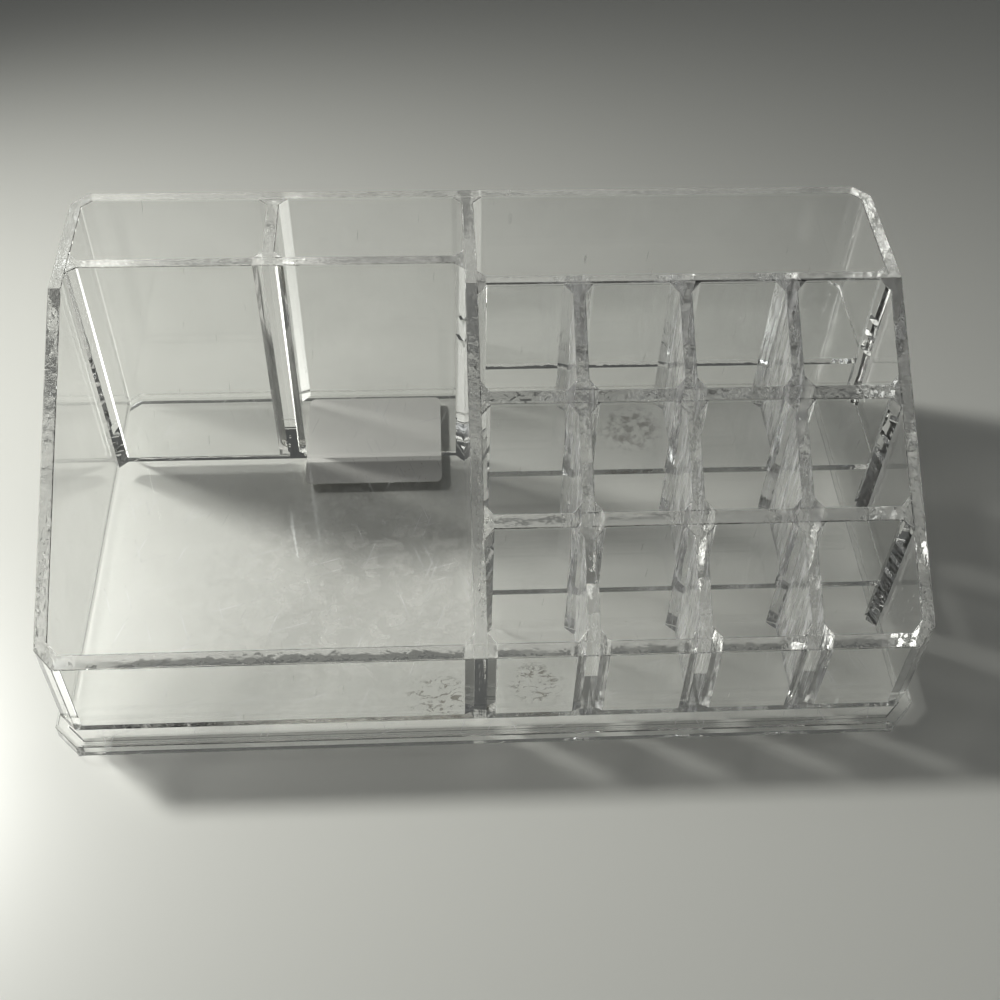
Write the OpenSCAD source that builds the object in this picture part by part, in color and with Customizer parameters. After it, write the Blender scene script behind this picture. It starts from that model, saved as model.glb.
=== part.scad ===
// Clear desk organizer: two tall cups, a low open tray, a rear bin and a stepped rack of small cells.
// Flat clear panels are bonded edge to edge on a rimmed base, and every joint is face to face.
// X runs across, +Y towards the back and +Z up. The origin is on the table, under the middle of the base.

/* [Overall] */
// Width across the outer faces of the side walls
body_w = 222; // [190:1:280]
// Depth from the front wall's outer face to the rear wall's outer face
body_d = 125.2; // [104:0.1:170]
// Height of the level top above the table
height = 79.2; // [62:0.1:110]
// Height of the front wall's outer top edge above the table
front_h = 32; // [20:0.1:50]
// Depth of the level top, from the back
shoulder_d = 40; // [20:0.1:60]

/* [Panels] */
// Thickness of every upright panel
wall_t = 3.3; // [2:0.1:5]
// Thickness of the base plate and of the raised floors
floor_t = 2; // [1:0.1:3.5]
// Leg of the 45 degree chamfer on the outer upright corners
corner_chamfer = 4.6; // [3.5:0.1:9]
// Leg of the 45 degree flare where one panel ends against another
flare = 2.4; // [0.5:0.1:4]

/* [Base] */
// Height of the base, from the table to the floor of the tray
base_h = 4.8; // [3.6:0.1:10]
// How far the base stands out in front of the front wall
front_lip = 4.8; // [0:0.1:12]
// How far the base stands out past the side and rear walls
side_lip = 1; // [0:0.1:6]
// Leg of the chamfer on the base's front corners
lip_chamfer = 6.3; // [2:0.1:12]
// Width of the rim that the base stands on
rim_w = 3; // [2:0.1:4]

/* [Cups] */
// Depth of the two cups, front to back
cup_d = 25.2; // [15:0.1:45]

/* [Rack] */
// Width of one rack cell
cell_w = 24.7; // [18:0.1:30]
// Depth of one rack cell, front to back
cell_d = 24.9; // [18:0.1:30]
// Rise from one tier's floor to the next
tier_rise = 15.6; // [6:0.1:19]
// Rise from the rear tier's floor to the rear bin's floor
bin_rise = 13.2; // [4:0.1:20]

/* [Label] */
// Width of the blank label under the base
label_w = 41; // [10:0.1:60]
// Depth of the blank label, front to back
label_d = 37.4; // [10:0.1:60]
// Thickness of the blank label
label_t = 0.2; // [0.1:0.05:0.5]
// Corner radius of the blank label
label_r = 2; // [0.5:0.1:5]
// Distance from the centre divider to the label's right edge
label_inset = 6.8; // [1:0.1:12]
// Distance from the rear wall to the label's rear edge
label_back = 0.6; // [0:0.1:8]

/* [Hidden] */

columns = 4;
tiers = 3;
// Extra reach of a cutter past the face that it opens
over = 1;

// The base is centred on the origin, so the body sits behind centre by half the difference of the lips
base_w = body_w + 2 * side_lip;
base_d = body_d + front_lip + side_lip;
front_y = -base_d / 2 + front_lip;
back_y = front_y + body_d;

// Inner faces of the outer walls
in_left = -body_w / 2 + wall_t;
in_right = body_w / 2 - wall_t;
in_front = front_y + wall_t;
in_back = back_y - wall_t;
// The corner wall keeps its thickness round the chamfer
inner_chamfer = corner_chamfer - wall_t * (2 - sqrt(2));

// The rack is measured from the right wall, and the tray takes the width that is left
rack_w = columns * cell_w + (columns - 1) * wall_t;
rack_left = in_right - rack_w;
divider_x = rack_left - wall_t / 2;
tray_right = rack_left - wall_t;
cup_divider_x = (in_left + tray_right) / 2;
cup_wall_back = in_back - cup_d;

// Tiers count from the front, tier 0. Each has its front wall's rear face, its floor and its rear wall
function tier_front(i) = in_front + i * (cell_d + wall_t);
function tier_back(i) = tier_front(i) + cell_d;
function tier_z(i) = base_h + i * tier_rise;
bin_front = tier_back(tiers - 1) + wall_t;
bin_z = tier_z(tiers - 1) + bin_rise;

// Height of the sloping top at a depth y: level at the back, then straight down to the front wall
shoulder_y = back_y - shoulder_d;

clear = [0.87, 0.88, 0.89, 0.4];
paper = [0.86, 0.85, 0.84];

// Side outline of the body, seen from the right, swept across the full width
module under_top() {
    intersection() {
        children();
        rotate([90, 0, 90])
            linear_extrude(height = base_w, center = true)
                polygon([
                    [front_y, 0], [back_y, 0], [back_y, height],
                    [shoulder_y, height], [front_y, front_h]
                ]);
    }
}

// A rectangle with a chamfer leg for each corner: front left, front right, back right, back left
module chamfered(x0, x1, y0, y1, legs) {
    polygon(concat(
        legs[0] > 0 ? [[x0, y0 + legs[0]], [x0 + legs[0], y0]] : [[x0, y0]],
        legs[1] > 0 ? [[x1 - legs[1], y0], [x1, y0 + legs[1]]] : [[x1, y0]],
        legs[2] > 0 ? [[x1, y1 - legs[2]], [x1 - legs[2], y1]] : [[x1, y1]],
        legs[3] > 0 ? [[x0 + legs[3], y1], [x0, y1 - legs[3]]] : [[x0, y1]]
    ));
}

// Plan of an upright panel along X that flares where its two ends meet other panels
module panel_across(x0, x1, y0) {
    y1 = y0 + wall_t;
    polygon([
        [x0, y0 - flare], [x0 + flare, y0], [x1 - flare, y0], [x1, y0 - flare],
        [x1, y1 + flare], [x1 - flare, y1], [x0 + flare, y1], [x0, y1 + flare]
    ]);
}

// Plan of an upright panel along Y, centred on x, with the same flares
module panel_along(x, y0, y1) {
    half = wall_t / 2;
    polygon([
        [x - half - flare, y0], [x + half + flare, y0], [x + half, y0 + flare], [x + half, y1 - flare],
        [x + half + flare, y1], [x - half - flare, y1], [x - half, y1 - flare], [x - half, y0 + flare]
    ]);
}

// Stands a plan on a floor and trims it to the body's top
module upright(floor_z) {
    under_top()
        translate([0, 0, floor_z])
            linear_extrude(height = height - floor_z + over)
                children();
}

module base_outline(inset = 0) {
    // An inset outline keeps its distance along the chamfers too
    shrink = inset * (2 - sqrt(2));
    rear_leg = corner_chamfer + (side_lip - inset) * (2 - sqrt(2));
    front_leg = lip_chamfer - shrink;
    chamfered(
        -base_w / 2 + inset, base_w / 2 - inset, -base_d / 2 + inset, base_d / 2 - inset,
        [front_leg, front_leg, rear_leg, rear_leg]
    );
}

// Rimmed base: thin plate on a rim, open under the raised floors of the rack
module base_plate() {
    color(clear)
        difference() {
            linear_extrude(height = base_h) base_outline();
            translate([0, 0, -over])
                linear_extrude(height = base_h - floor_t + over) base_outline(rim_w);
            translate([rack_left, tier_front(1), -over])
                cube([rack_w, in_back - tier_front(1), base_h + 2 * over]);
        }
}

// Plain film stuck up under the second cup
module underside_label() {
    x1 = tray_right - label_inset;
    y1 = in_back - label_back;
    color(paper)
        translate([x1 - label_w, y1 - label_d, base_h - floor_t - label_t])
            linear_extrude(height = label_t) {
                translate([label_r, 0]) square([label_w - 2 * label_r, label_d]);
                translate([0, label_r]) square([label_w, label_d - 2 * label_r]);
                for (x = [label_r, label_w - label_r], y = [label_r, label_d - label_r])
                    translate([x, y]) circle(r = label_r, $fn = 48);
            }
}

// Plan of a side wall with its two chamfered corner returns. side is -1 for left and 1 for right
module side_wall_plan(side) {
    out_x = body_w / 2;
    in_x = in_right;
    turn_x = in_x - inner_chamfer;
    scale([side, 1])
        polygon([
            [out_x, front_y + corner_chamfer], [out_x - corner_chamfer, front_y], [turn_x, front_y],
            [turn_x, in_front], [in_x, in_front + inner_chamfer],
            [in_x, in_back - inner_chamfer], [turn_x, in_back],
            [turn_x, back_y], [out_x - corner_chamfer, back_y], [out_x, back_y - corner_chamfer]
        ]);
}

module left_side_wall() { color(clear) upright(base_h) side_wall_plan(-1); }
module right_side_wall() { color(clear) upright(base_h) side_wall_plan(1); }

// Front and rear walls run between the corner returns of the side walls
module straight_wall(y) {
    run = 2 * (in_right - inner_chamfer);
    color(clear) upright(base_h) translate([-run / 2, y]) square([run, wall_t]);
}

module front_wall() { straight_wall(front_y); }
module rear_wall() { straight_wall(in_back); }

module centre_divider() { color(clear) upright(base_h) panel_along(divider_x, in_front, in_back); }
module cup_front_wall() {
    color(clear) upright(base_h) panel_across(in_left, tray_right, cup_wall_back - wall_t);
}
module cup_divider() { color(clear) upright(base_h) panel_along(cup_divider_x, cup_wall_back, in_back); }

// Rack wall behind tier i. It stands on that tier's floor
module rack_wall(i) { color(clear) upright(tier_z(i)) panel_across(rack_left, in_right, tier_back(i)); }

module rack_wall_front() { rack_wall(0); }
module rack_wall_middle() { rack_wall(1); }
module rack_wall_rear() { rack_wall(2); }

// Raised floor of tier i. It butts on the wall in front and runs under the wall behind
module tier_floor(i) {
    color(clear)
        translate([0, 0, tier_z(i) - floor_t])
            linear_extrude(height = floor_t)
                chamfered(rack_left, in_right, tier_front(i), tier_back(i) + wall_t, [flare, flare, 0, 0]);
}

module middle_tier_floor() { tier_floor(1); }
module rear_tier_floor() { tier_floor(2); }

module rear_bin_floor() {
    color(clear)
        translate([0, 0, bin_z - floor_t])
            linear_extrude(height = floor_t)
                chamfered(rack_left, in_right, bin_front, in_back, [flare, flare, inner_chamfer, flare]);
}

// Divider after column k of tier i, both counted from 0
module cell_divider(i, k) {
    x = rack_left + (k + 1) * cell_w + (k + 0.5) * wall_t;
    color(clear) upright(tier_z(i)) panel_along(x, tier_front(i), tier_back(i));
}

base_plate();
underside_label();
rear_wall();
left_side_wall();
right_side_wall();
front_wall();
centre_divider();
cup_front_wall();
cup_divider();
rack_wall_rear();
rack_wall_middle();
rack_wall_front();
rear_bin_floor();
rear_tier_floor();
middle_tier_floor();
cell_divider(2, 0);  // rear_tier_divider_left
cell_divider(2, 1);  // rear_tier_divider_centre
cell_divider(2, 2);  // rear_tier_divider_right
cell_divider(1, 0);  // middle_tier_divider_left
cell_divider(1, 1);  // middle_tier_divider_centre
cell_divider(1, 2);  // middle_tier_divider_right
cell_divider(0, 0);  // front_tier_divider_left
cell_divider(0, 1);  // front_tier_divider_centre
cell_divider(0, 2);  // front_tier_divider_right
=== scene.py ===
"""Clear desk organizer: two tall cups, a low tray, a rear bin and a stepped rack of cells, in clear plastic.

Each panel is its own closed piece. Where two panels are bonded, both carry a clear bond face, so that light
crosses the joint without bending and the organizer looks like one clear body.
"""

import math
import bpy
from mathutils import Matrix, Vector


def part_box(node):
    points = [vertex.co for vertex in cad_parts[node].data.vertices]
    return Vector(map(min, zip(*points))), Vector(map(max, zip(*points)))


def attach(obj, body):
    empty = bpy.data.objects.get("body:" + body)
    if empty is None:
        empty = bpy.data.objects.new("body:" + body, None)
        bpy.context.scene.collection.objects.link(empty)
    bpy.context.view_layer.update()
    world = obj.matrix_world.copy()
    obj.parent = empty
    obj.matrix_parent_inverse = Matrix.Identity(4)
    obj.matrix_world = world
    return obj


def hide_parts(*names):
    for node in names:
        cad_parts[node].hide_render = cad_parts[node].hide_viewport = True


bl_info = {
    "name": "Clear Desk Organizer",
    "version": (1, 0, 0),
    "blender": (4, 5, 0),
    "location": "3D View > Sidebar > Organizer",
    "description": "Finishes the panels of a clear desk organizer and stands it in a studio",
    "category": "Object",
}

import bmesh
import bpy
from mathutils import Euler, Vector
from mathutils.bvhtree import BVHTree
from mathutils.geometry import tessellate_polygon

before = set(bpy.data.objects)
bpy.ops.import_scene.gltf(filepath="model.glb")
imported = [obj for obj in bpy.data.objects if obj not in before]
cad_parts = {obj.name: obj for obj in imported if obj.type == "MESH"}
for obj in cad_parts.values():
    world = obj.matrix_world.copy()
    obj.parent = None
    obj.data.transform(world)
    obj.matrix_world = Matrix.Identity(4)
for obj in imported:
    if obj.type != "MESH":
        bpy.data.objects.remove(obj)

BODY = "root"
MM = 0.001
# Faces nearer than this lie against each other
TOUCH = 2e-6
# Before its edges are rounded, a panel has a corner this near to each corner of its CAD solid
SAME = 1e-5
# A point this far outside a face tells whether another panel is there
PROBE_DEPTH = 2e-5
PROBE_WAY = Vector((0.317, 0.211, 0.925)).normalized()
# Cosine of the angle between faces that look at each other
OPPOSED = -0.9999
FLAT_ANGLE = math.radians(0.5)
# Edges flatter than this aren't rounded
LEAST_CORNER = math.radians(35)
# Places of the finishes in an upright panel's material list
CLEAR, BOND, RIM = 0, 1, 2
# Painted glow: share of light that the rims, the raised floors and the dividers scatter beyond the haze,
# standing in for the light that the plastic guides and bends onto them
RIM_GLOW, FLOOR_GLOW, DIVIDER_GLOW = 0.12, 0.14, 0.03
# Shares of lamp light that the shady walls and the rims pass at each face, next to the other panels
SHADY_SHARE, RIM_SHARE = 0.52, 0.45
# Share of light that the label lets through
FILM_SHARE = 0.12
# The label lies this far under the base, so that the two never share a plane
LABEL_GAP = 5 * TOUCH

TIERS = ("front", "middle", "rear")
COLUMNS = ("left", "centre", "right")
OUTER_WALLS = ("rear_wall", "left_side_wall", "right_side_wall", "front_wall")
# These bend the most lamp light aside, so their shadows are the deepest
SHADY_WALLS = ("right_side_wall", "front_wall", "cup_front_wall")
PARTITIONS = ("centre_divider", "cup_front_wall", "cup_divider")
RACK_WALLS = ("rack_wall_front", "rack_wall_middle", "rack_wall_rear")
RAISED_FLOORS = ("middle_tier_floor", "rear_tier_floor", "rear_bin_floor")
DIVIDER_SIZES = ("Thickness", "Flare", "Centre", "Front", "Depth", "Floor", "Front Top", "Rear Top")

# How deep the moulding's ripples are at full strength, and how wide on walls and on dividers and rims
RIPPLE_DEPTH = 0.6 * MM
WALL_STRAND, DIVIDER_STRAND = 5 * MM, 2.2 * MM
# How far the haze varies from place to place, as shares of itself
HAZE_LEAST, HAZE_MOST = 0.4, 1.6
# Colour of the haze, and of the painted glow and painted streaks added to it
HAZE_AND_GLOW_COLOUR = (0.9, 0.9, 0.88, 1)
# Colour of the painted highlight streaks on the dividers
PAINTED_STREAK_COLOUR = (0.97, 0.97, 1.0)
# Each mark of use or painted highlight: how much of the surface it covers, and its colour
MARKS = {
    "smear": (0.3, (0.86, 0.85, 0.82)),
    "scratch": (0.75, (0.95, 0.95, 0.95)),
    "lint": (0.7, (0.9, 0.9, 0.88)),
    "cup grit": (0.8, (0.35, 0.28, 0.2)),
    "dried drop": (0.85, (0.2, 0.18, 0.15)),
    # The next two entries are painted highlights, standing in for reflected light, not marks of use
    "painted highlight run": (0.75, (1, 1, 1)),
    "painted_stroke": (0.8, (1, 1, 1)),
    "soot": (0.6, (0.16, 0.14, 0.13)),
    "cell grit": (0.7, (0.3, 0.24, 0.2)),
}

LAMP_PLACE = (-0.415, 0.197, 0.422)
LAMP_AIM = (-0.035, -0.25, 0.0)
LAMP_CONE = math.radians(108)
LAMP_RADIUS = 0.04
LAMP_COLOUR = (0.995, 1.0, 0.95)
ROOM_COLOUR = (0.97, 1.0, 0.98, 1)
# Where each window is seen from the organizer, its half angle, and its brightness
WINDOWS = (
    ((0.75, 0.25, 0.6), 0.10, 4.0),
    ((-0.6, 0.5, 0.6), 0.16, 3.0),
)

# The floor lies this far under the base, so that the two never share a plane
FLOOR_GAP = 0.05 * MM
FLOOR_ROUGHNESS, FLOOR_GLOSS = 0.31, 0.95

# The camera is turned about its X, Y and Z axes, in this order
CAMERA_TURNS = ((0.7135, 0, 0), (0, -0.0507, 0), (0, 0, -0.0214))
CAMERA_SHIFT = (-0.0049, 0.0016)
BOUNCES = 32


def size(node):
    low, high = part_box(node)
    return high - low


# Thickness of every upright panel, and the flare where a divider's ends meet the walls
WALL = size("front_wall").y
FLARE = (size("front_tier_divider_left").x - WALL) / 2


# ---------------------------------------------------------------- settings


class PanelSettings(bpy.types.PropertyGroup):
    """Sizes that the mesh work adds to the panels."""

    edge_round: bpy.props.FloatProperty(
        name="Edge rounding",
        description="Radius on the panels' open edges",
        default=0.28 * MM,
        unit="LENGTH",
    )
    base_round: bpy.props.FloatProperty(
        name="Base rounding",
        description="Radius on the base's outer top edge",
        default=0.8 * MM,
        unit="LENGTH",
    )
    round_steps: bpy.props.IntProperty(
        name="Rounding steps", description="Faces across each rounded edge", default=3, min=1, max=6
    )
    divider_thickness: bpy.props.FloatProperty(
        name="Divider thickness", description="Thickness of a cell divider", default=WALL, unit="LENGTH"
    )
    divider_flare: bpy.props.FloatProperty(
        name="Divider flare",
        description="Flare at both ends of a cell divider",
        default=FLARE,
        unit="LENGTH",
    )


class PlasticSettings(bpy.types.PropertyGroup):
    """The clear plastic and the film under it."""

    tint: bpy.props.FloatVectorProperty(
        name="Tint",
        description="Colour of the clear plastic",
        default=(0.984, 0.988, 0.982),
        size=3,
        subtype="COLOR",
    )
    ior: bpy.props.FloatProperty(name="Index", description="Refractive index of the plastic", default=1.53)
    haze: bpy.props.FloatProperty(
        name="Haze", description="Share of light that the surface scatters", default=0.045, subtype="FACTOR"
    )
    shade: bpy.props.FloatProperty(
        name="Shade", description="Share of lamp light that passes one face", default=0.975, subtype="FACTOR"
    )
    ripple: bpy.props.FloatProperty(
        name="Ripple", description="Strength of the moulding's ripples", default=0.06
    )
    divider_ripple: bpy.props.FloatProperty(
        name="Divider ripple", description="Strength of the ripples on dividers and rims", default=1.3
    )
    film: bpy.props.FloatVectorProperty(
        name="Label film",
        description="Colour of the blank label",
        default=(0.92, 0.91, 0.88),
        size=3,
        subtype="COLOR",
    )


class StudioSettings(bpy.types.PropertyGroup):
    """Floor, lights and camera."""

    floor_colour: bpy.props.FloatVectorProperty(
        name="Floor",
        description="Colour of the floor",
        default=(0.735, 0.735, 0.70),
        size=3,
        subtype="COLOR",
    )
    floor_size: bpy.props.FloatProperty(
        name="Floor size", description="Side of the floor", default=8.0, unit="LENGTH"
    )
    lamp_power: bpy.props.FloatProperty(name="Lamp power", description="Power of the main lamp", default=14.3)
    sky: bpy.props.FloatProperty(name="Sky", description="Strength of the soft room light", default=0.06)
    lens: bpy.props.FloatProperty(name="Lens", description="Focal length of the camera", default=48.43)
    camera_place: bpy.props.FloatVectorProperty(
        name="Camera place",
        description="Where the camera stands",
        default=(-0.01287, -0.24701, 0.30587),
        size=3,
        subtype="TRANSLATION",
    )


# ---------------------------------------------------------------- meshes


def flatten(bm):
    """Joins neighbouring faces that lie in one plane and share a finish."""
    bmesh.ops.dissolve_limit(
        bm, angle_limit=FLAT_ANGLE, verts=bm.verts, edges=bm.edges, delimit={"MATERIAL"}
    )


def welded(mesh):
    """A closed bmesh of a mesh's loose triangles, joined into whole flat faces."""
    bm = bmesh.new()
    bm.from_mesh(mesh)
    bmesh.ops.remove_doubles(bm, verts=bm.verts, dist=TOUCH)
    flatten(bm)
    bm.faces.ensure_lookup_table()
    return bm


solids = {name: welded(obj.data) for name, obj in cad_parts.items()}
trees = {name: BVHTree.FromBMesh(bm) for name, bm in solids.items()}


def extent(verts):
    """Lowest and highest corner of some vertices."""
    points = [v.co for v in verts]
    return [Vector(map(pick, zip(*points))) for pick in (min, max)]


def share_room(a, b):
    """True if two boxes overlap by more than a touch, along each axis on which both have any width."""
    for low_a, high_a, low_b, high_b in zip(*a, *b):
        least = TOUCH if high_a - low_a > TOUCH and high_b - low_b > TOUCH else -TOUCH
        if min(high_a, high_b) - max(low_a, low_b) < least:
            return False
    return True


def meet(a, b):
    """True if two boxes overlap or touch."""
    return all(min(ha, hb) - max(la, lb) > -TOUCH for la, ha, lb, hb in zip(*a, *b))


def against(mine, theirs):
    """True if two faces lie in one plane, face to face."""
    opposed = mine.normal.dot(theirs.normal) < OPPOSED
    gap = (mine.verts[0].co - theirs.verts[0].co).dot(theirs.normal)
    return opposed and abs(gap) < TOUCH


def imprint(bm, other):
    """Cuts bm's faces along the outline of each face of another panel that lies against them."""
    for theirs in other.faces:
        room = extent(theirs.verts)
        patch = [f for f in bm.faces if against(f, theirs) and share_room(extent(f.verts), room)]
        for edge in theirs.edges:
            if not patch:
                break
            start, end = (v.co for v in edge.verts)
            # Without repeats, and in the same order each run
            geometry = dict.fromkeys(part for f in patch for part in (f, *f.edges, *f.verts))
            cut = bmesh.ops.bisect_plane(
                bm,
                geom=list(geometry),
                dist=TOUCH,
                plane_co=start,
                plane_no=(end - start).cross(theirs.normal).normalized(),
            )
            pieces = [part for part in cut["geom"] if isinstance(part, bmesh.types.BMFace)]
            patch = [f for f in pieces if share_room(extent(f.verts), room)]


def inner_point(face):
    """A point well inside a face: the middle of its largest triangle."""
    corners = [v.co for v in face.verts]
    triangles = [[corners[i] for i in t] for t in tessellate_polygon([corners])]
    largest = max(triangles, key=lambda t: (t[1] - t[0]).cross(t[2] - t[0]).length)
    return sum(largest, Vector()) / 3


def inside(tree, point):
    """True if a point is in a closed solid: a line out of it crosses the surface an odd number of times."""
    crossings = 0
    while True:
        hit = tree.ray_cast(point, PROBE_WAY)[0]
        if hit is None:
            return crossings % 2 == 1
        crossings += 1
        point = hit + PROBE_WAY * TOUCH


def bond(bm, node):
    """Gives bm's faces that touch another panel the bond finish."""
    others = [name for name in solids if name != node and meet(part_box(node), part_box(name))]
    for name in others:
        imprint(bm, solids[name])
    for face in bm.faces:
        outside = inner_point(face) + face.normal * PROBE_DEPTH
        if any(inside(trees[name], outside) for name in others):
            face.material_index = BOND
    flatten(bm)


def is_open_corner(edge):
    """True if an edge is a sharp outer corner between two faces that are both open to the air."""
    faces = edge.link_faces
    return (
        len(faces) == 2
        and BOND not in (faces[0].material_index, faces[1].material_index)
        and edge.is_convex
        and edge.calc_face_angle() > LEAST_CORNER
    )


def round_edges(bm, edges, radius, steps):
    bmesh.ops.bevel(
        bm,
        geom=edges,
        offset=radius,
        offset_type="OFFSET",
        segments=steps,
        profile=0.5,
        affect="EDGES",
        clamp_overlap=True,
        material=-1,
    )


def settle_order(bm):
    """Sorts a mesh's parts by place, because the mesh operators leave them in an order that varies."""
    corners = {v: i for i, v in enumerate(sorted(bm.verts, key=lambda v: v.co[:]))}
    ranks = [corners]
    for parts in (bm.edges, bm.faces):
        in_order = sorted(parts, key=lambda part: sorted(corners[v] for v in part.verts))
        ranks.append({part: i for i, part in enumerate(in_order)})
    for parts, rank in zip((bm.verts, bm.edges, bm.faces), ranks):
        parts.sort(key=rank.get)


def shown(name, bm, node, materials):
    """Makes a piece of a finished mesh, which stands for its node."""
    settle_order(bm)
    mesh = bpy.data.meshes.new(name)
    bm.to_mesh(mesh)
    bm.free()
    obj = bpy.data.objects.new(name, mesh)
    bpy.context.scene.collection.objects.link(obj)
    for material in materials:
        mesh.materials.append(material)
    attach(obj, BODY)
    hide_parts(node)
    return obj


def is_outer_top(edge, room):
    """True if an edge runs round the outside of a box, at its top."""
    (low, high), points = room, [v.co for v in edge.verts]
    walls = [f for f in edge.link_faces if abs(f.normal.z) < 0.1]
    out = (edge.verts[0].co + edge.verts[1].co) / 2 - (low + high) / 2
    return all(high.z - p.z < TOUCH for p in points) and any(f.normal.dot(out) > 0 for f in walls)


def same_shape(bm, node):
    """Stops if a corner of the CAD solid has no corner of the mesh at its place."""
    for v in solids[node].verts:
        gap = min((v.co - w.co).length for w in bm.verts)
        if gap > SAME:
            raise RuntimeError(f"{node} has no corner within {gap / MM:.3f} mm of one in the CAD")


def clear_panel(node, bm, material, rim=None, rounder=None):
    """Bonds, rounds and shows one clear panel. Faces that look up get the rim finish if there is one.

    Open corners that rounder picks out get the base's larger radius.
    """
    panels = bpy.context.scene.organizer_panels
    for face in bm.faces:
        face.material_index = CLEAR
    same_shape(bm, node)
    bond(bm, node)
    if all(face.material_index == BOND for face in bm.faces):
        raise RuntimeError(f"{node} has no face open to the air, so it would be invisible")
    if rounder:
        outline = [e for e in bm.edges if is_open_corner(e) and rounder(e)]
        round_edges(bm, outline, panels.base_round, panels.round_steps)
    # Upward faces get the rim finish, whose painted glow makes them lighter
    if rim:
        for face in bm.faces:
            if face.normal.z > 0.7 and face.material_index != BOND:
                face.material_index = RIM
    round_edges(bm, [e for e in bm.edges if is_open_corner(e)], panels.edge_round, panels.round_steps)
    # Rounding can push a corner out by about a micron
    low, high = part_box(node)
    for v in bm.verts:
        v.co = [min(max(c, least), most) for c, least, most in zip(v.co, low, high)]
    materials = [material, bond_clear(), rim or material]
    return shown(f"clear_{node}", bm, node, materials)


# ---------------------------------------------------------------- materials


def fresh_material(name):
    """A material with an empty node tree and its output node."""
    material = bpy.data.materials.new(name)
    material.use_nodes = True
    tree = material.node_tree
    tree.nodes.clear()
    return material, tree, tree.nodes.new("ShaderNodeOutputMaterial")


def add(tree, kind, inputs=None, **settings):
    """Adds a node, sets its properties, and sets or links its inputs by name or place."""
    made = tree.nodes.new(kind)
    for name, value in settings.items():
        setattr(made, name, value)
    for name, value in (inputs or {}).items():
        if isinstance(value, bpy.types.NodeSocket):
            tree.links.new(value, made.inputs[name])
        else:
            made.inputs[name].default_value = value
    return made


def maths(tree, operation, a, b=0.0):
    return add(tree, "ShaderNodeMath", {0: a, 1: b}, operation=operation).outputs[0]


def ramp(tree, value, start, end, low=0.0, high=1.0):
    """A smooth step of a value from low at start to high at end."""
    inputs = {"Value": value, "From Min": start, "From Max": end, "To Min": low, "To Max": high}
    return add(tree, "ShaderNodeMapRange", inputs, interpolation_type="SMOOTHSTEP").outputs["Result"]


def place(tree):
    """The point on the organizer, in metres."""
    return add(tree, "ShaderNodeTexCoord").outputs["Object"]


def mix(tree, factor, first, second):
    return add(tree, "ShaderNodeMixShader", {0: factor, 1: first, 2: second}).outputs[0]


def bond_clear():
    """Bond between two panels: light passes straight through."""
    found = bpy.data.materials.get("bond_clear")
    if found:
        return found
    material, tree, output = fresh_material("bond_clear")
    shader = add(tree, "ShaderNodeBsdfTransparent", {"Color": (1, 1, 1, 1)})
    tree.links.new(shader.outputs[0], output.inputs["Surface"])
    return material


def lets_lamps_through(tree, shader, shade):
    """The shader, with a plain see-through one in its place for lamp light and for light off the floor."""
    path = add(tree, "ShaderNodeLightPath").outputs
    facing = add(tree, "ShaderNodeLayerWeight", {"Blend": 0.5}).outputs["Facing"]
    passed = ramp(tree, facing, 0.6, 1.0, shade, 0.35 * shade)
    lamp_side = add(tree, "ShaderNodeBsdfTransparent", {"Color": passed}).outputs[0]
    floor_side = add(tree, "ShaderNodeBsdfTransparent", {"Color": (shade, shade, shade, 1)}).outputs[0]
    seen = mix(tree, path["Is Diffuse Ray"], shader, floor_side)
    return mix(tree, path["Is Shadow Ray"], seen, lamp_side)


def vectors(tree, operation, a, b=(0, 0, 0)):
    return add(tree, "ShaderNodeVectorMath", {0: a, 1: b}, operation=operation).outputs


def product(tree, *shares):
    """Several shares times each other."""
    total = shares[0]
    for share in shares[1:]:
        total = maths(tree, "MULTIPLY", total, share)
    return total


def blob(tree, point, centre, reach):
    """1 well inside an ellipsoid, falling to 0 at its edge."""
    offset = vectors(tree, "SUBTRACT", point, centre)[0]
    distance = vectors(tree, "LENGTH", vectors(tree, "DIVIDE", offset, reach)[0])["Value"]
    return ramp(tree, distance, 1.0, 0.35)


def on_top(tree, point, level):
    """1 on a floor's upper face and 0 below it."""
    height = add(tree, "ShaderNodeSeparateXYZ", {0: point}).outputs["Z"]
    return ramp(tree, height, level - 0.2 * MM, level - 0.1 * MM)


def noise(tree, point, spacing, detail=3.0, twist=0.0):
    inputs = {"Vector": point, "Scale": 1 / spacing, "Detail": detail, "Distortion": twist}
    return add(tree, "ShaderNodeTexNoise", inputs).outputs["Fac"]


def specks(tree, point, spacing, reach, share):
    """Small dots, one in some of the cells of a grid. reach is a dot's radius as a share of its cell."""
    cells = add(tree, "ShaderNodeTexVoronoi", {"Vector": point, "Scale": 1 / spacing}).outputs
    chosen = add(tree, "ShaderNodeSeparateColor", {0: cells["Color"]}).outputs["Red"]
    dot = ramp(tree, cells["Distance"], reach, 0.7 * reach)
    return product(tree, dot, maths(tree, "GREATER_THAN", chosen, 1 - share))


def scratches(tree, point, turn, spacing, share):
    """Fine straight scratches at one angle. spacing is the size of the cell that can hold one."""
    inputs = {"Vector": point, "Rotation": turn, "Scale": spacing}
    turned = add(tree, "ShaderNodeMapping", inputs, vector_type="TEXTURE").outputs[0]
    return specks(tree, turned, 1.0, 0.4, share)


def residue(tree, point, spacing):
    """Crooked broken lines, as dried drops leave, longer from side to side."""
    wide = add(tree, "ShaderNodeMapping", {"Vector": point, "Scale": (0.45, 1.0, 1.0)}).outputs[0]
    off = maths(tree, "ABSOLUTE", maths(tree, "SUBTRACT", noise(tree, wide, spacing, 4.0, 1.5), 0.5))
    broken = ramp(tree, noise(tree, point, 0.7 * spacing), 0.42, 0.56)
    return product(tree, ramp(tree, off, 0.05, 0.015), broken)


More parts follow.
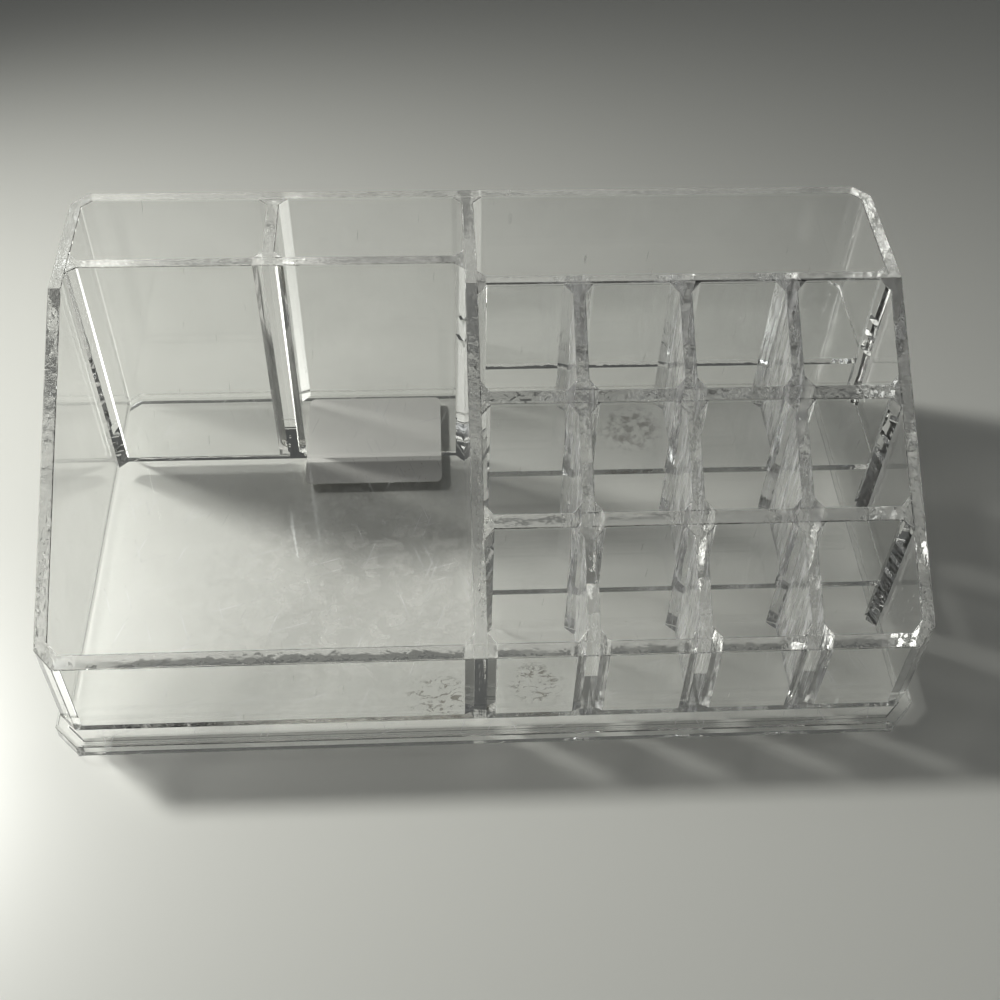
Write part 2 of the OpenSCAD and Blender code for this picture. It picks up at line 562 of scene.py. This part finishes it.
def clear_plastic(name, shade_share=1.0, marks_and_painted_light=None, ripple=None, glow=0.0):
    """Clear moulded plastic with a faint haze. A list of marks adds marks of use and painted highlights to
    the surface as (share, colour) pairs; glow is a painted glow added to the haze.
    """
    plastic = bpy.context.scene.organizer_plastic
    strength, strand = (plastic.ripple, WALL_STRAND) if ripple is None else (ripple, DIVIDER_STRAND)
    material, tree, output = fresh_material(name)
    point = place(tree)
    upright = add(tree, "ShaderNodeMapping", {"Vector": point, "Scale": (1.0, 1.0, 0.12)}).outputs[0]
    strands = product(tree, noise(tree, upright, strand, 2.0), 0.35)
    flow = maths(tree, "ADD", noise(tree, point, 18 * MM, 1.0), strands)
    ripples = {"Height": flow, "Strength": strength, "Distance": RIPPLE_DEPTH}
    bump = add(tree, "ShaderNodeBump", ripples).outputs["Normal"]
    smudge = noise(tree, point, 26 * MM, 5.0)
    glass = add(
        tree,
        "ShaderNodeBsdfPrincipled",
        {
            "Base Color": (*plastic.tint, 1),
            "Roughness": ramp(tree, smudge, 0.45, 0.75, 0.0, 0.05),
            "IOR": plastic.ior,
            "Transmission Weight": 1.0,
            "Normal": bump,
        },
    ).outputs[0]
    haze_and_glow = add(tree, "ShaderNodeBsdfDiffuse", {"Color": HAZE_AND_GLOW_COLOUR}).outputs[0]
    # The scattered share holds the real haze and the painted glow
    least, most = glow + HAZE_LEAST * plastic.haze, glow + HAZE_MOST * plastic.haze
    haze = ramp(tree, smudge, 0.35, 0.75, least, most)
    # Sparse fine upright pale streaks: painted highlights standing in for streaks of reflected light
    painted_streaks = scratches(tree, point, (0.0, 0.1, 0.3), (0.2 * MM, 0.2 * MM, 16 * MM), 0.004)
    outside = maths(tree, "SUBTRACT", 1.0, add(tree, "ShaderNodeNewGeometry").outputs["Backfacing"])
    scattered = product(tree, outside, maths(tree, "ADD", haze, product(tree, painted_streaks, 0.4)))
    shader = mix(tree, scattered, glass, haze_and_glow)
    for share, colour in marks_and_painted_light(tree, point) if marks_and_painted_light else ():
        mark = add(tree, "ShaderNodeBsdfDiffuse", {"Color": (*colour, 1)}).outputs[0]
        shader = mix(tree, share, shader, mark)
    surface = lets_lamps_through(tree, shader, plastic.shade * shade_share)
    tree.links.new(surface, output.inputs["Surface"])
    return material


def middle(*nodes):
    """The middle of several nodes' own middles."""
    return sum((sum(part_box(node), Vector()) / 2 for node in nodes), Vector()) / len(nodes)


def painted_divider_streaks(tree, point):
    """Painted highlights on the dividers: pale streaks drawn out upwards over an even painted paleness,
    standing in for the light that the dividers bend and reflect.
    """
    drawn = add(tree, "ShaderNodeMapping", {"Vector": point, "Scale": (1.0, 1.0, 0.12)}).outputs[0]
    light = ramp(tree, noise(tree, drawn, 1.7 * MM, 2.0, 0.4), 0.52, 0.66, DIVIDER_GLOW, 0.3)
    return [(light, PAINTED_STREAK_COLOUR)]


def worn_or_painted(tree, kind, *shares):
    """A mark of use or a painted highlight where all the shares are 1, as how much of the surface it covers
    and its colour.
    """
    cover, colour = MARKS[kind]
    return product(tree, *shares, cover), colour


def tray_wear(tree, point):
    """Marks of use on the base: smears and scratches, specks in the right cup, dried drops at the front."""
    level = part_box("base_plate")[1].z
    top = on_top(tree, point, level)
    tray = middle("left_side_wall", "centre_divider")
    tray.y = middle("front_wall", "cup_front_wall").y
    smeared = Vector((tray.x + 22 * MM, tray.y - 4 * MM, level))
    smear = worn_or_painted(
        tree,
        "smear",
        top,
        blob(tree, point, smeared, (52 * MM, 50 * MM, 1)),
        ramp(tree, noise(tree, point, 5 * MM, 9.0, 0.5), 0.42, 0.64),
    )
    fine = [
        worn_or_painted(tree, "scratch", top, scratches(tree, point, (0, 0, turn), (15 * MM, 0.3 * MM, 0.3 * MM), 0.03))
        for turn in (1.9, 1.25, 0.3)
    ]
    cup = middle("cup_divider", "centre_divider")
    dusty = blob(tree, point, (cup.x, cup.y, level), (30 * MM, 17 * MM, 1))
    grit = worn_or_painted(tree, "cup grit", top, dusty, specks(tree, point, 1.3 * MM, 0.13, 0.35))
    lint = worn_or_painted(tree, "lint", top, specks(tree, point, 3.1 * MM, 0.06, 0.5))
    cell = middle("centre_divider", "front_tier_divider_left")
    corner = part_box("front_tier_divider_left")[0]
    spots = [
        ((cell.x + 1 * MM, corner.y + 9 * MM, level), (9 * MM, 8 * MM, 1)),
        ((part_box("centre_divider")[0].x - 7 * MM, corner.y + 6 * MM, level), (11 * MM, 8 * MM, 1)),
    ]
    drops = [
        worn_or_painted(tree, "dried drop", top, blob(tree, point, *spot), residue(tree, point, 2.6 * MM))
        for spot in spots
    ]
    return [smear, *fine, lint, grit, *drops]


def wall_painted_highlights(tree, point):
    """Painted highlights: pale upright streaks on the rear wall behind the bin, and two pale strokes on the
    rack's front wall, standing in for reflected light.
    """
    bin_low, bin_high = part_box("rear_bin_floor")
    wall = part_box("rear_wall")[0]
    centre = ((bin_low.x + bin_high.x) / 2 - 6 * MM, wall.y, bin_high.z + 18 * MM)
    behind = blob(tree, point, centre, (48 * MM, 1 * MM, 16 * MM))
    tall = add(tree, "ShaderNodeMapping", {"Vector": point, "Scale": (1.0, 1.0, 0.25)}).outputs[0]
    painted_runs = worn_or_painted(tree, "painted highlight run", behind, specks(tree, tall, 3.2 * MM, 0.2, 0.16))
    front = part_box("rack_wall_front")
    marks = [painted_runs]
    for column, lean in (("left", 21 * MM), ("centre", 17 * MM)):
        divider = middle(f"front_tier_divider_{column}")
        spot = (divider.x + lean, front[0].y, front[1].z - 12 * MM)
        painted_stroke = blob(tree, point, spot, (0.7 * MM, 1 * MM, 7 * MM))
        marks.append(worn_or_painted(tree, "painted_stroke", painted_stroke))
    return marks


def rack_wear(tree, point):
    """Sooty smudge and grit on the floor of the rear tier's second cell."""
    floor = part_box("rear_tier_floor")
    cell = middle("rear_tier_divider_left", "rear_tier_divider_centre")
    top = on_top(tree, point, floor[1].z)
    near = blob(tree, point, (cell.x + 2 * MM, cell.y + 3 * MM, floor[1].z), (11 * MM, 11 * MM, 1))
    soot = worn_or_painted(tree, "soot", top, near, ramp(tree, noise(tree, point, 2.2 * MM, 9.0), 0.4, 0.66))
    around = blob(tree, point, (cell.x - 6 * MM, cell.y - 4 * MM, floor[1].z), (34 * MM, 16 * MM, 1))
    grit = worn_or_painted(tree, "cell grit", top, around, specks(tree, point, 1.1 * MM, 0.13, 0.3))
    return [soot, grit]


# ---------------------------------------------------------------- operators


class ORGANIZER_OT_base_plate(bpy.types.Operator):
    """Rimmed base plate with a rounded top edge."""

    bl_idname = "organizer.base_plate"
    bl_label = "Base plate"

    def execute(self, context):
        node = "base_plate"
        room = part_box(node)
        clear_panel(
            node,
            welded(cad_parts[node].data),
            clear_plastic("base_clear", marks_and_painted_light=tray_wear),
            rounder=lambda edge: is_outer_top(edge, room),
        )
        return {"FINISHED"}


class ORGANIZER_OT_upright_panels(bpy.types.Operator):
    """Outer walls, partitions and rack walls."""

    bl_idname = "organizer.upright_panels"
    bl_label = "Upright panels"

    def execute(self, context):
        ripple = context.scene.organizer_plastic.divider_ripple
        # The walls' material carries painted highlights on the rear wall and on the rack's front wall
        clear = clear_plastic("wall_clear", marks_and_painted_light=wall_painted_highlights)
        # The rims' finish carries a painted glow
        rim = clear_plastic("rim_clear", RIM_SHARE, ripple=ripple, glow=RIM_GLOW)
        shady = clear_plastic("shady_wall_clear", SHADY_SHARE)
        for node in (*OUTER_WALLS, *PARTITIONS, *RACK_WALLS):
            clear_panel(node, welded(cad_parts[node].data), shady if node in SHADY_WALLS else clear, rim)
        return {"FINISHED"}


class ORGANIZER_OT_raised_floors(bpy.types.Operator):
    """Raised floors of the rack and the rear bin."""

    bl_idname = "organizer.raised_floors"
    bl_label = "Raised floors"

    def execute(self, context):
        # The raised floors carry a painted glow
        clear = clear_plastic("floor_clear", marks_and_painted_light=rack_wear, glow=FLOOR_GLOW)
        for node in RAISED_FLOORS:
            clear_panel(node, welded(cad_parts[node].data), clear)
        return {"FINISHED"}


def divider_tree(material):
    """Geometry Nodes for one cell divider: a flat panel, flared at both ends, with a sloping top."""
    tree = bpy.data.node_groups.new("Cell divider", "GeometryNodeTree")
    for name in DIVIDER_SIZES:
        tree.interface.new_socket(name=name, in_out="INPUT", socket_type="NodeSocketFloat")
    tree.interface.new_socket(name="Geometry", in_out="OUTPUT", socket_type="NodeSocketGeometry")
    given = tree.nodes.new("NodeGroupInput").outputs
    # A unit block with two extra rings of points along Y, which become the inner ends of the flares
    counts = {"Vertices X": 2, "Vertices Y": 4, "Vertices Z": 2}
    block = add(tree, "GeometryNodeMeshCube", counts).outputs["Mesh"]
    at = add(tree, "ShaderNodeSeparateXYZ", {0: add(tree, "GeometryNodeInputPosition").outputs[0]}).outputs
    is_end = maths(tree, "GREATER_THAN", maths(tree, "ABSOLUTE", at["Y"]), 0.4)
    half = product(tree, given["Thickness"], 0.5)
    out = maths(tree, "ADD", half, product(tree, given["Flare"], is_end))
    x = maths(tree, "ADD", given["Centre"], product(tree, maths(tree, "SIGN", at["X"]), out))
    inset = product(tree, given["Flare"], maths(tree, "SUBTRACT", 1.0, is_end))
    reach = maths(tree, "SUBTRACT", product(tree, given["Depth"], 0.5), inset)
    middle_y = maths(tree, "ADD", given["Front"], product(tree, given["Depth"], 0.5))
    y = maths(tree, "ADD", middle_y, product(tree, maths(tree, "SIGN", at["Y"]), reach))
    along = maths(tree, "DIVIDE", maths(tree, "SUBTRACT", y, given["Front"]), given["Depth"])
    rise = maths(tree, "SUBTRACT", given["Rear Top"], given["Front Top"])
    top = maths(tree, "ADD", given["Front Top"], product(tree, along, rise))
    is_top = maths(tree, "GREATER_THAN", at["Z"], 0.0)
    above = product(tree, is_top, maths(tree, "SUBTRACT", top, given["Floor"]))
    z = maths(tree, "ADD", given["Floor"], above)
    point = add(tree, "ShaderNodeCombineXYZ", {"X": x, "Y": y, "Z": z}).outputs[0]
    moved = add(tree, "GeometryNodeSetPosition", {"Geometry": block, "Position": point}).outputs[0]
    real = add(tree, "GeometryNodeRealizeInstances", {"Geometry": moved}).outputs[0]
    dressed = add(tree, "GeometryNodeSetMaterial", {"Geometry": real, "Material": material}).outputs[0]
    tree.links.new(dressed, tree.nodes.new("NodeGroupOutput").inputs["Geometry"])
    return tree


def grown(tree, sizes):
    """The mesh that a Geometry Nodes tree makes from these sizes."""
    maker = bpy.data.objects.new("maker", bpy.data.meshes.new("maker"))
    bpy.context.scene.collection.objects.link(maker)
    modifier = maker.modifiers.new("Cell divider", "NODES")
    modifier.node_group = tree
    for socket in tree.interface.items_tree:
        if socket.in_out == "INPUT":
            modifier[socket.identifier] = sizes[socket.name]
    evaluated = maker.evaluated_get(bpy.context.evaluated_depsgraph_get())
    mesh = bpy.data.meshes.new_from_object(evaluated)
    maker.modifiers.remove(modifier)
    bpy.data.objects.remove(maker)
    return mesh


class ORGANIZER_OT_cell_dividers(bpy.types.Operator):
    """Nine dividers between the cells of the rack."""

    bl_idname = "organizer.cell_dividers"
    bl_label = "Cell dividers"

    def execute(self, context):
        panels = context.scene.organizer_panels
        ripple = context.scene.organizer_plastic.divider_ripple
        # The dividers carry painted highlight streaks over an even painted paleness
        clear = clear_plastic("divider_clear", marks_and_painted_light=painted_divider_streaks, ripple=ripple)
        rim = bpy.data.materials["rim_clear"]
        tree = divider_tree(clear)
        for tier in TIERS:
            for column in COLUMNS:
                node = f"{tier}_tier_divider_{column}"
                low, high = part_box(node)
                sizes = {
                    "Thickness": panels.divider_thickness,
                    "Flare": panels.divider_flare,
                    "Centre": (low.x + high.x) / 2,
                    "Front": low.y,
                    "Depth": high.y - low.y,
                    "Floor": low.z,
                    "Front Top": max(v.co.z for v in solids[node].verts if v.co.y < low.y + TOUCH),
                    "Rear Top": high.z,
                }
                clear_panel(node, welded(grown(tree, sizes)), clear, rim)
        return {"FINISHED"}


class ORGANIZER_OT_label(bpy.types.Operator):
    """Blank film stuck up under the second cup."""

    bl_idname = "organizer.label"
    bl_label = "Label"

    def execute(self, context):
        bm = welded(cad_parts["underside_label"].data)
        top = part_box("underside_label")[1].z
        for v in bm.verts:
            if v.co.z > top - TOUCH:
                v.co.z -= LABEL_GAP
        material, tree, output = fresh_material("label_film")
        plastic = context.scene.organizer_plastic
        paper = add(tree, "ShaderNodeBsdfDiffuse", {"Color": (*plastic.film, 1)}).outputs[0]
        through = add(tree, "ShaderNodeBsdfTranslucent", {"Color": (*plastic.film, 1)}).outputs[0]
        tree.links.new(mix(tree, FILM_SHARE, paper, through), output.inputs["Surface"])
        shown("label_film", bm, "underside_label", [material])
        return {"FINISHED"}


class ORGANIZER_OT_studio(bpy.types.Operator):
    """Pale floor, soft lamp from the left, room light and camera."""

    bl_idname = "organizer.studio"
    bl_label = "Studio"

    def execute(self, context):
        studio = context.scene.organizer_studio
        self.lay_floor(studio)
        self.hang_lamps(studio)
        self.set_room(context, studio)
        self.place_camera(context, studio)
        return {"FINISHED"}

    def lay_floor(self, studio):
        half = studio.floor_size / 2
        below = -FLOOR_GAP
        mesh = bpy.data.meshes.new("floor")
        corners = [(-half, -half, below), (half, -half, below), (half, half, below), (-half, half, below)]
        mesh.from_pydata(corners, [], [(0, 1, 2, 3)])
        floor = bpy.data.objects.new("floor", mesh)
        bpy.context.scene.collection.objects.link(floor)
        material, tree, output = fresh_material("floor_matte")
        shader = add(
            tree,
            "ShaderNodeBsdfPrincipled",
            {
                "Base Color": (*studio.floor_colour, 1),
                "Roughness": FLOOR_ROUGHNESS,
                "Specular IOR Level": FLOOR_GLOSS,
            },
        )
        tree.links.new(shader.outputs[0], output.inputs["Surface"])
        mesh.materials.append(material)

    def hang_lamps(self, studio):
        lamp = bpy.data.lights.new("lamp", "SPOT")
        lamp.energy = studio.lamp_power
        lamp.spot_size = LAMP_CONE
        lamp.spot_blend = 1.0
        lamp.shadow_soft_size = LAMP_RADIUS
        lamp.color = LAMP_COLOUR
        hung = bpy.data.objects.new("lamp", lamp)
        hung.location = LAMP_PLACE
        aim = Vector(LAMP_AIM) - hung.location
        hung.rotation_euler = aim.to_track_quat("-Z", "Y").to_euler()
        bpy.context.scene.collection.objects.link(hung)

    def set_room(self, context, studio):
        """A dim room with two soft windows."""
        world = bpy.data.worlds.new("room")
        world.use_nodes = True
        tree = world.node_tree
        tree.nodes.clear()
        output = tree.nodes.new("ShaderNodeOutputWorld")
        way = add(tree, "ShaderNodeTexCoord").outputs["Generated"]
        height = add(tree, "ShaderNodeSeparateXYZ", {0: way}).outputs["Z"]
        level = ramp(tree, height, 0.0, 0.9, 0.3 * studio.sky, 1.3 * studio.sky)
        for look, reach, strength in WINDOWS:
            near = vectors(tree, "DOT_PRODUCT", way, Vector(look).normalized())["Value"]
            pane = ramp(tree, near, math.cos(reach), math.cos(0.7 * reach))
            level = maths(tree, "ADD", level, product(tree, pane, strength))
        light = add(tree, "ShaderNodeBackground", {"Color": ROOM_COLOUR, "Strength": level})
        tree.links.new(light.outputs[0], output.inputs["Surface"])
        context.scene.world = world

    def place_camera(self, context, studio):
        data = bpy.data.cameras.new("camera")
        data.lens = studio.lens
        data.sensor_width = 36.0
        data.shift_x, data.shift_y = CAMERA_SHIFT
        data.clip_start, data.clip_end = 0.01, 50
        camera = bpy.data.objects.new("camera", data)
        camera.location = studio.camera_place
        camera.rotation_mode = "XYZ"
        pitch, roll, swing = (Euler(turn).to_matrix() for turn in CAMERA_TURNS)
        turned = pitch @ roll @ swing
        camera.rotation_euler = turned.to_euler("XYZ")
        context.scene.collection.objects.link(camera)
        context.scene.camera = camera
        context.scene.view_settings.view_transform = "Standard"
        cycles = context.scene.cycles
        # Light that is caught in a panel by total reflection counts as glossy, so it needs as many bounces
        cycles.max_bounces = BOUNCES
        cycles.transmission_bounces = BOUNCES
        cycles.glossy_bounces = BOUNCES
        cycles.transparent_max_bounces = 3 * BOUNCES


class ORGANIZER_PT_sidebar(bpy.types.Panel):
    """The organizer's settings and steps."""

    bl_idname = "ORGANIZER_PT_sidebar"
    bl_label = "Clear Desk Organizer"
    bl_space_type = "VIEW_3D"
    bl_region_type = "UI"
    bl_category = "Organizer"

    def draw(self, context):
        for owner, names in SETTINGS.items():
            for name in names:
                self.layout.prop(getattr(context.scene, owner), name)
        for step in STEPS:
            self.layout.operator(step.bl_idname)


GROUPS = {
    "organizer_panels": PanelSettings,
    "organizer_plastic": PlasticSettings,
    "organizer_studio": StudioSettings,
}
SETTINGS = {owner: list(group.__annotations__) for owner, group in GROUPS.items()}
STEPS = (
    ORGANIZER_OT_base_plate,
    ORGANIZER_OT_upright_panels,
    ORGANIZER_OT_raised_floors,
    ORGANIZER_OT_cell_dividers,
    ORGANIZER_OT_label,
    ORGANIZER_OT_studio,
)


def register():
    for made in (*GROUPS.values(), *STEPS, ORGANIZER_PT_sidebar):
        bpy.utils.register_class(made)
    for owner, group in GROUPS.items():
        setattr(bpy.types.Scene, owner, bpy.props.PointerProperty(type=group))


def unregister():
    for owner in GROUPS:
        delattr(bpy.types.Scene, owner)
    for made in reversed((*GROUPS.values(), *STEPS, ORGANIZER_PT_sidebar)):
        bpy.utils.unregister_class(made)


def main():
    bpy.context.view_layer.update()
    register()
    bpy.ops.organizer.base_plate()
    bpy.ops.organizer.upright_panels()
    bpy.ops.organizer.raised_floors()
    bpy.ops.organizer.cell_dividers()
    bpy.ops.organizer.label()
    bpy.ops.organizer.studio()


if __name__ == "__main__":
    main()
